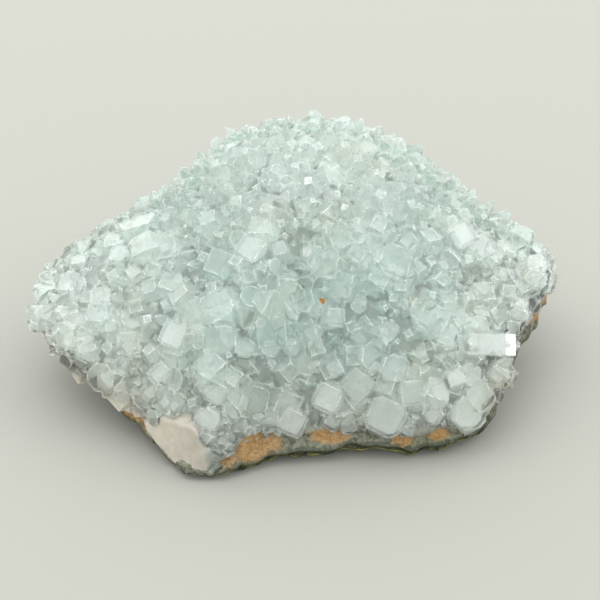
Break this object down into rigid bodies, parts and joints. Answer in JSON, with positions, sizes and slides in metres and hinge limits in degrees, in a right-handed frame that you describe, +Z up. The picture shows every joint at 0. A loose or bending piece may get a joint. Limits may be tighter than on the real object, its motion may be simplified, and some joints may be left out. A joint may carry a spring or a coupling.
{
  "type": "apophyllite cluster",
  "caption": "Domed cluster of intergrown blocky apophyllite crystals, milky pale aqua and translucent, on a thin plate of dark rock with a flat underside.",
  "frame": {"origin": "on the flat underside of the rock, at table level, under the middle of the cluster", "axes": "+Z up, +X to the right along the longest side, -Y towards the front, where the crust slopes down to the table"},
  "size_m": [0.1429, 0.1024, 0.0661],
  "materials": {
    "rock": "rough, dark green and brown, stained with rust at the seam",
    "crystal": "milky, translucent, glossy crystal faces"
  },
  "bodies": {
    "root": {"rock_matrix": "rock", "apophyllite_crystals": "crystal"}
  },
  "joints": []
}
